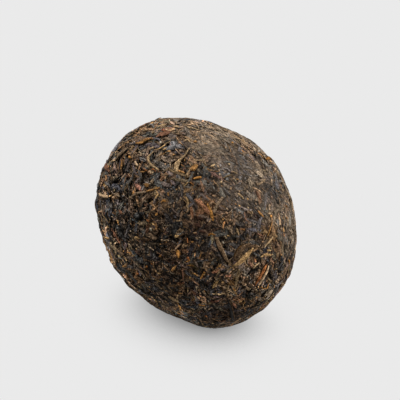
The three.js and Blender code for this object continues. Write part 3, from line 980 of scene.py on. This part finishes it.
# the pieces that catch the eye: what it is, width in millimetres, pixels of the photograph along it
standOuts = [
    ("bright olive leaf", 1.9, (233, 266), (238.5, 261.6), (245.5, 255.6), (253.4, 247.6)),
    ("gold stem", 0.5, (237, 265.6), (243.5, 261), (248.5, 255.6), (253.4, 248.2)),
    ("olive stem", 0.5, (227.6, 270.2), (231, 267.6), (236, 263.6)),
    ("brown leaf", 2.2, (234.4, 261), (238, 252), (244.5, 246), (251.5, 243.6)),
    ("dim amber leaf", 0.8, (233.6, 257.6), (237, 249.6), (243, 244.4)),
    ("rust stem", 1.4, (254.8, 285.6), (260.5, 275), (266.6, 264.4)),
    ("bright sand stem", 1.2, (257.4, 286.6), (263.2, 276), (268.6, 265.6)),
    ("maroon stem", 0.5, (269, 263), (271, 256), (273, 245)),
    ("bright orange stem", 0.5, (261, 286), (263, 288.5), (267, 288), (268.5, 284)),
    ("bright brown stem", 1.9, (216, 236.5), (219.6, 245), (222.6, 252), (227, 261.5)),
    ("sand stem", 0.4, (217.4, 236.4), (221, 244.6), (224.2, 251.6), (228.2, 260)),
    ("black leaf", 0.7, (214.5, 238), (217.5, 246), (221, 254), (226, 262.5)),
    ("dim orange stem", 1, (208, 236), (210.5, 233.6), (215, 235)),
    ("dim gold bud", 0.7, (226.6, 235.2), (230.5, 236.3)),
    ("pale bud", 0.6, (222.8, 241), (224.3, 243.3)),
    ("bright olive leaf", 1.6, (260.5, 257.5), (265.5, 254.5), (272.5, 254.8)),
    ("gold bud", 1, (267, 250), (271, 250.4)),
    ("bright tan stem", 0.8, (264, 248), (269, 241.5), (273, 236.3)),
    ("bright amber stem", 0.6, (267, 236.5), (271, 226), (272, 222)),
    ("bright tan stem", 0.8, (252.6, 268.3), (255, 265), (259.4, 262.8)),
    ("black leaf", 1.1, (246.5, 275), (252.5, 270.2), (259.5, 267)),
    ("bright umber leaf", 0.9, (246.4, 276), (247, 281.6), (252, 287.5), (259, 294)),
    ("gold stem", 1.1, (212.7, 287.8), (215.5, 284), (218.5, 280.8)),
    ("bright amber stem", 0.8, (216.6, 268.3), (221.2, 264)),
    ("tan stem", 0.5, (215, 277.7), (218, 273), (221, 267.5)),
    ("orange stem", 0.7, (200.5, 278.4), (205, 271.4)),
    ("tan leaf", 1.3, (234.5, 291), (236.5, 280), (239.5, 269)),
    ("bright tan stem", 0.7, (226.6, 291.7), (229.7, 282.3)),
    ("dim amber bud", 1.3, (228, 283), (232, 286)),
    ("bright orange bud", 1, (233.5, 288), (235.5, 291)),
    ("slate leaf", 1.1, (227.4, 298), (230.5, 307), (232.8, 320.5)),
    ("brown stem", 0.4, (229.5, 298), (232.5, 307), (234.8, 319)),
    ("bright red leaf", 1.3, (232.8, 301.8), (236, 307.3)),
    ("bright dust leaf", 2.6, (265.3, 294.8), (273, 289.4)),
    ("amber stem", 0.7, (257.6, 310.4), (262.3, 307.3)),
    ("red bud", 1.2, (221, 322), (226, 319.5)),
    ("bright red stem", 0.5, (256, 233), (263.8, 236.3)),
    ("sand stem", 0.5, (129.4, 243), (130.8, 249.4), (133.6, 254.6)),
    ("tan stem", 0.6, (131, 256.2), (133.5, 255.8), (136, 254.4)),
    ("pale bud", 1.1, (151.4, 227.3), (152.6, 230.5)),
    ("gold bud", 1.5, (106.8, 236.6), (110.4, 238.6)),
    ("gold bud", 0.9, (108.6, 225), (110.4, 227.6)),
    ("olive bud", 1.5, (135.5, 237), (141, 238)),
    ("dim brown leaf", 1.1, (140.6, 238.8), (151, 238.8)),
    ("gold bud", 1.4, (175, 236.6), (179, 235.2)),
    ("bright orange bud", 1.9, (177.8, 250), (178.8, 258.2)),
    ("bright rust stem", 0.4, (187.3, 237.4), (188, 242.6)),
    ("rust bud", 1.3, (187.3, 256.6), (189.8, 260)),
    ("orange stem", 0.5, (186, 261.5), (190.4, 259.9)),
    ("dim orange stem", 0.6, (186.6, 264.6), (193.8, 265.6)),
    ("bright amber bud", 1.5, (172, 270.8), (176.4, 265.4)),
    ("bright red stem", 0.5, (181.9, 266.2), (182.8, 273), (183.3, 280.2)),
    ("bright rust bud", 1.1, (136.6, 273.6), (139.6, 273.1)),
    ("brown leaf", 1.5, (147.4, 273.4), (150.6, 279.2)),
    ("bright amber bud", 1, (123.6, 265.6), (128.2, 265)),
    ("tan bud", 0.9, (119.4, 259.6), (121, 262)),
    ("bright olive bud", 0.9, (157.8, 273.2), (161.4, 273.2)),
    ("bright tan leaf", 2.2, (168.6, 295.8), (173.6, 298), (178.6, 302.4)),
    ("tan bud", 1.2, (157.2, 302), (158.2, 306.6)),
    ("sand bud", 1, (162.6, 304.6), (165.8, 308.4)),
    ("bright amber bud", 1, (178.2, 292.7), (182.2, 293.6)),
    ("amber stem", 1, (127.1, 272), (129.6, 278.4)),
    ("tan stem", 0.9, (190, 148.3), (184.8, 156.6), (179.5, 161)),
    ("bright tan leaf", 2.1, (181.5, 159), (177.6, 163.5), (176.4, 168), (178.4, 172.5)),
    ("amber stem", 0.9, (177.4, 170.7), (181, 171.5), (185, 173.5)),
    ("tan stem", 1.1, (156, 153), (151.4, 156.6), (150, 161), (152.4, 165.6), (157.6, 168.4), (160, 171.5)),
    ("gold stem", 0.8, (158.2, 151.2), (162.4, 148.8), (166.4, 146)),
    ("pale bud", 0.8, (161.4, 143.2), (163, 145)),
    ("dim gold stem", 0.5, (167.6, 148.3), (164.1, 151)),
    ("tan stem", 0.7, (152.2, 149.9), (155.7, 148.2)),
    ("orange bud", 1.3, (130.6, 157.4), (133.2, 159)),
    ("sand stem", 0.9, (137.5, 162.3), (141, 167.4)),
    ("bright sand stem", 1.4, (100.3, 193.8), (105, 196), (110.1, 197.3)),
    ("red leaf", 2.6, (156.4, 137.2), (163, 135.2), (171.3, 132.6)),
    ("amber leaf", 1.6, (136, 144.2), (144, 142), (153.8, 138.4)),
    ("red leaf", 2.6, (105.5, 165.5), (108.5, 168.5), (111.5, 172.5)),
    ("tan stem", 0.9, (112.9, 162.5), (117.1, 160.9)),
    ("drab leaf", 1.8, (117, 160.4), (123.5, 155), (129.8, 148.5)),
    ("amber leaf", 1, (124.8, 159.5), (123.8, 170.7)),
    ("mauve leaf", 2.4, (127.6, 172), (131.9, 163.7)),
    ("ash leaf", 1.3, (138, 170.5), (134.6, 178), (130.6, 185)),
    ("ash leaf", 1.4, (141.4, 170.7), (142.4, 177), (141, 183)),
    ("dim amber leaf", 1.7, (144.5, 184.9), (150.2, 185.3)),
    ("dim rust bud", 1.2, (145.4, 170), (148, 171.6)),
    ("drab leaf", 1.9, (150.6, 183), (155.2, 178.8)),
    ("bright drab stem", 1.1, (132.6, 197.3), (139.6, 193.4), (147.5, 191.8)),
    ("amber stem", 0.9, (146.5, 192), (153.6, 189.6), (160.8, 187.4)),
    ("tan bud", 0.9, (131.6, 198), (134.2, 196.8)),
    ("bright olive stem", 0.7, (156.4, 190.3), (159, 194.5), (155.7, 198.9)),
    ("dim orange bud", 1.3, (162.5, 200.2), (166.8, 201.2)),
    ("dim orange bud", 1.1, (168.2, 192.2), (169.6, 196.8)),
    ("brown leaf", 2.4, (163.2, 207.4), (168.4, 203.4)),
    ("amber leaf", 2.3, (190.6, 170.2), (198, 165.8)),
    ("orange stem", 1.1, (193.2, 178.5), (201.6, 177.2)),
    ("dim gold stem", 0.6, (184.4, 186.1), (187.9, 181.9)),
    ("brown leaf", 1.3, (114, 175.4), (115.2, 181.4)),
    ("black leaf", 1.3, (155.4, 121.4), (161.4, 118.4)),
    ("dim orange leaf", 1.9, (265, 161), (269.6, 158.4), (273.2, 162.4)),
    ("dim pale bud", 0.8, (269.6, 165.6), (271, 167.4)),
    ("dim sand stem", 0.9, (256.3, 185.6), (261, 183), (265.4, 179)),
    ("bright tan stem", 0.9, (210.7, 167.2), (214.9, 164.4)),
    ("bright drab stem", 1.3, (213.5, 214), (217.5, 205), (222.4, 197)),
    ("bright russet leaf", 2, (194.6, 199), (199, 202.6), (204, 207)),
    ("russet leaf", 2.2, (201, 203.6), (206.6, 208.4), (211.6, 215.4)),
    ("russet leaf", 1.6, (191, 207), (192.6, 213), (192.2, 219)),
    ("orange leaf", 1.7, (207.4, 203.6), (211, 212), (213.4, 221)),
    ("dim maroon leaf", 1.6, (196, 216.5), (203, 220.5)),
    ("maroon leaf", 1.6, (194.6, 224), (201, 226.8)),
    ("maroon leaf", 1.3, (199, 231), (206, 232)),
    ("orange bud", 1.1, (231.2, 142.6), (233.2, 144.2)),
    ("bright tan bud", 0.8, (240, 146.4), (242, 147.4)),
    ("dim tan stem", 0.7, (223.3, 177.7), (232.5, 174.2)),
    ("tan stem", 0.8, (238.1, 193.1), (243.7, 199.4)),
    ("red stem", 0.6, (255.6, 191), (260.5, 200)),
    ("dim dust leaf", 2.4, (273.1, 213.2), (281, 208.2)),
    ("bright orange bud", 1.2, (270, 215.6), (272.4, 217)),
    ("amber stem", 0.8, (257.7, 210.6), (263.3, 217)),
    ("dust leaf", 1.8, (248.4, 178.6), (251, 188.6)),
    ("bright mauve leaf", 1.8, (161.5, 183.5), (167, 185), (172, 187)),
    ("tan leaf", 1.2, (105, 211), (108, 217), (112, 223)),
    ("drab leaf", 1, (102, 213), (105, 220), (108, 226)),
    ("ash leaf", 1.8, (109.6, 202.6), (115.4, 207.4)),
    ("red leaf", 1.3, (121, 210), (124.5, 214)),
    ("black leaf", 0.9, (138.6, 203), (139.4, 211), (142, 218)),
    ("dim black leaf", 0.9, (99.6, 183), (98.8, 194)),
    ("black leaf", 1, (117, 170.5), (114.6, 175), (115.4, 184)),
    ("ash leaf", 2, (109, 160.4), (114, 153.4)),
    ("russet leaf", 1.3, (139, 127.8), (145, 125), (150, 123.8)),
    ("tan bud", 0.8, (158, 124.5), (161, 122.4)),
    ("tan bud", 1.1, (152.5, 134), (156, 133)),
    ("tan stem", 0.7, (143, 132.5), (148.5, 130.5)),
    ("amber bud", 1, (193.5, 142), (197.5, 142.5)),
    ("tan stem", 0.6, (184.5, 141.4), (188, 140), (190.5, 143)),
    ("tan leaf", 1, (172.5, 127), (179.5, 128)),
    ("tan stem", 0.5, (194, 160.5), (202, 161)),
    ("bright drab stem", 0.7, (170.5, 162), (171.5, 169)),
    ("dim amber stem", 0.6, (161.5, 157), (166.6, 153.6)),
    ("amber bud", 0.9, (173, 156), (175.6, 155)),
    ("dim rust stem", 0.6, (152, 171), (155, 169.4), (157.5, 172)),
    ("dim red bud", 1.1, (129.5, 175.5), (132.5, 178)),
    ("bright drab leaf", 1.4, (117, 193.4), (121.6, 196.6)),
    ("brown leaf", 1.3, (109, 187), (111.5, 193.5)),
    ("bright orange bud", 0.9, (156.5, 215.5), (158.5, 212.5)),
    ("rust bud", 1, (148, 219.4), (150.6, 221)),
    ("bright gold bud", 0.8, (153.5, 222.5), (155, 225.5)),
    ("olive bud", 0.9, (118.5, 220), (121.6, 220.6)),
    ("black stem", 0.7, (175.6, 188.6), (180.5, 182)),
    ("bright black leaf", 1, (126, 273), (131, 282), (139, 287.5), (152, 295.5)),
    ("drab leaf", 1.4, (121, 276), (128, 285), (138, 292), (150, 300)),
    ("black leaf", 0.9, (161, 272.5), (170, 275), (178, 279.5), (183, 284)),
    ("bright orange stem", 0.7, (198.5, 304.4), (205.5, 305.4)),
    ("drab bud", 1, (144, 244), (147, 245)),
    ("bright drab bud", 0.9, (161.5, 239.4), (164.6, 240)),
    ("dim red bud", 0.9, (194.6, 233), (198, 234)),
    ("amber stem", 0.6, (201.5, 252.5), (199.5, 259)),
    ("dim rust bud", 0.8, (151, 263), (153, 264.5)),
    ("amber bud", 0.7, (159.2, 256), (161.2, 257)),
    ("dim drab bud", 0.9, (182.5, 286.4), (186, 287)),
    ("red leaf", 1.2, (192.5, 290.4), (195.5, 295)),
    ("amber stem", 0.7, (191.5, 300.6), (195.5, 298.4)),
    ("drab leaf", 1, (112, 247), (114.5, 254), (118, 262)),
    ("drab leaf", 0.9, (121.5, 240), (122.6, 252)),
    ("drab stem", 0.7, (110.6, 243.5), (113.5, 251)),
    ("bright drab leaf", 1.3, (202.5, 291), (206.5, 295)),
    ("sand bud", 0.8, (152.4, 302.6), (154.4, 304.4)),
    ("drab leaf", 1.1, (168.5, 310.4), (176, 315), (184, 319)),
    ("gold bud", 0.7, (240, 301), (242, 299.6)),
    ("bright tan bud", 1, (226.5, 292.6), (230, 292)),
    ("rust bud", 1, (205, 315), (207.6, 317)),
    ("tan bud", 1, (208.4, 303), (211.6, 303)),
    ("drab stem", 0.9, (250.5, 307.4), (257.5, 305.4)),
    ("orange bud", 0.9, (287.4, 259), (288.4, 263)),
    ("dust leaf", 2.4, (254.5, 172.6), (259, 174), (263.5, 177)),
    ("bright orange bud", 0.6, (222.4, 219), (223.9, 219.6)),
    ("dust leaf", 1.3, (279, 175), (283.5, 184), (287, 193)),
    ("tan stem", 0.7, (286, 190), (289.5, 200), (292, 212)),
    ("dust leaf", 1.2, (289.5, 205), (292.4, 217), (293.4, 230)),
    ("amber bud", 0.9, (285.5, 205), (286.5, 208)),
    ("orange bud", 0.7, (285.5, 217), (286.2, 219.5)),
    ("gold bud", 0.6, (210, 253.2), (212.2, 252)),
]
# the same palette colour drawn dimmer or brighter per piece: partly its own tone, partly painted light and
# shade as each piece lies lit or shaded
standOutLight = {"dim": 0.55, "plain": 1.1, "bright": 1.6}
standOutForms = {
    "stem": {
        "shape": strandShape, "form": {"spans": 14, "sides": 7, "tip": 0.5, "crinkle": 0.05, "twist": 0.4},
        "thick": 0.55, "most": 0.8, "finish": "stalk",
    },
    "leaf": {
        "shape": strandShape, "form": {"spans": 12, "sides": 8, "tip": 0.25, "crinkle": 0.2, "twist": 0.3},
        "thick": 0.3, "most": 0.42, "finish": "leaf",
    },
    "bud": {"shape": budShape, "form": {}, "thick": 0.6, "most": 0.9, "finish": "stalk"},
}
standOutMarks = {"firstSeed": 200, "along": 7, "deep": 3}
standOutRise = {"lift": 0.18, "cap": 0.45, "looseLift": 1.05, "paintedEdgeShade": 0.4, "texture": 0.75}


def smoothLine(pixels, count=33, passes=10):
    corners = onBowlAt(pixels)
    reach = np.concatenate([[0], np.cumsum(np.linalg.norm(np.diff(corners, axis=0), axis=1))])
    even = np.linspace(0, reach[-1], count)
    line = np.stack([np.interp(even, reach, corners[:, k]) for k in range(3)], 1)
    for _ in range(passes):
        line[1:-1] = (line[:-2] + 2 * line[1:-1] + line[2:]) / 4
    return line, reach[-1]


def layStandOuts():
    parts = {}
    for seed, (phrase, width, *pixels) in enumerate(standOuts):
        *light, colour, kind = phrase.split()
        form = standOutForms[kind]
        shape, faces = form["shape"](standOutMarks["firstSeed"] + seed, **form["form"])
        line, length = smoothLine(pixels)
        ahead = np.gradient(line, axis=0)
        at = np.clip(shape[:, 0] + 0.5, 0, 1) * (len(line) - 1)
        spot, way = (np.stack([np.interp(at, np.arange(len(line)), a[:, k]) for k in range(3)], 1)
                     for a in (line, ahead))
        foot, normal = onBowl(spot)
        side = np.cross(normal, way)
        side /= np.linalg.norm(side, axis=1)[:, None]
        across = shape[:, 1] * width
        deep = shape[:, 2] * min(width * form["thick"], form["most"])
        loose = looseAt(foot)
        lift = standOutRise["lift"] + standOutRise["looseLift"] * loose
        cap = standOutRise["cap"] + standOutRise["looseLift"] * loose
        placed, shade = settle(spot + side * across[:, None], deep + lift, cap)
        grain = np.stack([
            shape[:, 0] * length + standOutMarks["along"] * seed,
            across,
            deep + standOutMarks["deep"] * seed,
        ], 1)
        # a milder painted edge shade on the pieces that stand out
        shade = shade * rimShade(shape, centre) ** standOutRise["paintedEdgeShade"]
        colours = np.array(palette[colour]) * shade[:, None] * standOutLight[light[0] if light else "plain"]
        parts.setdefault(form["finish"], []).append((placed, faces, colours, grain))
    for finish, pieces in parts.items():
        joinedPiece("standOut" + finish.capitalize(), finish, pieces, mostTexture=standOutRise["texture"])


layStandOuts()

stage = {
    "floorSize": 12.0,
    "shadowReach": 40 * mm,
    "shadowSamples": 24,
    "floorShadowTones": {0.0: 0.10, 0.33: 0.475, 0.47: 0.642, 0.6: 0.771, 0.7: 0.811, 0.83: 0.823},  # by openness: painted shadow of the bowl on the floor
    "bounce": 0.29,  # the floor's glow for all rays but the camera's: painted bounce light that the leaves get back from the floor
    "backdrop": 0.82,
    "suns": {  # strength, spread, lean from straight above, round from the camera's right towards the back
        "backSun": (4.8, 60, 27, 155),
        "frontSun": (1.25, 60, 55, -40),
        "sideSun": (4.4, 55, 82, 0),
    },
}


# the floor glows instead of being lit: its shadow under the bowl is painted from how open each spot is, and
# the suns cast none on it
def floorMaterial():
    material, tree, shader = newMaterial("glowingFloor")
    tree.nodes.remove(shader)
    reach = [("Distance", stage["shadowReach"])]
    openShare = addNode(tree, "ShaderNodeAmbientOcclusion", reach, samples=stage["shadowSamples"])
    greys = {position: (tone,) * 3 for position, tone in stage["floorShadowTones"].items()}
    glow = addNode(tree, "ShaderNodeEmission", [("Color", addRamp(tree, openShare.outputs["AO"], greys))])
    dim = addNode(tree, "ShaderNodeEmission", [("Strength", stage["bounce"])])
    seen = addNode(tree, "ShaderNodeLightPath")
    mix = addNode(tree, "ShaderNodeMixShader", [
        (0, seen.outputs["Is Camera Ray"]), (1, dim.outputs[0]), (2, glow.outputs[0]),
    ])
    out = next(node for node in tree.nodes if node.type == "OUTPUT_MATERIAL")
    tree.links.new(mix.outputs[0], out.inputs[0])
    return material


def makeBackdrop():  # seen past the floor's far edge only, and gives no light
    world = bpy.data.worlds.new("softRoom")
    world.use_nodes = True
    tree = world.node_tree
    seen = addNode(tree, "ShaderNodeLightPath")
    tone = toRange(tree, seen.outputs["Is Camera Ray"], 0, 1, 0, stage["backdrop"])
    tree.nodes["Background"].inputs["Color"].default_value = (1, 1, 1, 1)
    tree.links.new(tone, tree.nodes["Background"].inputs["Strength"])
    bpy.context.scene.world = world


def makeStage():
    bm = bmesh.new()
    bmesh.ops.create_grid(bm, x_segments=1, y_segments=1, size=stage["floorSize"] / 2)
    mesh = bpy.data.meshes.new("floor")
    bm.to_mesh(mesh)
    bm.free()
    mesh.materials.append(floorMaterial())
    floor = bpy.data.objects.new("floor", mesh)
    bpy.context.scene.collection.objects.link(floor)
    makeBackdrop()
    for name, sun in stage["suns"].items():
        makeSun(name, *sun)


def makeSun(name, strength, spread, lean, around):
    lean, around = math.radians(lean), math.radians(around)
    light = bpy.data.lights.new(name, "SUN")
    light.energy = strength
    light.angle = math.radians(spread)
    lamp = bpy.data.objects.new(name, light)
    right, _, back = viewAxes()
    away = np.array([-back[0], -back[1], 0])
    away /= np.linalg.norm(away)
    level = right * math.cos(around) + away * math.sin(around)
    way = np.array([0, 0, math.cos(lean)]) + math.sin(lean) * level
    lamp.rotation_euler = Vector(way).to_track_quat("Z", "Y").to_euler()
    bpy.context.scene.collection.objects.link(lamp)


makeStage()
bpy.context.scene.view_settings.view_transform = "Standard"
bpy.context.scene.view_settings.look = "None"
print("stage made")
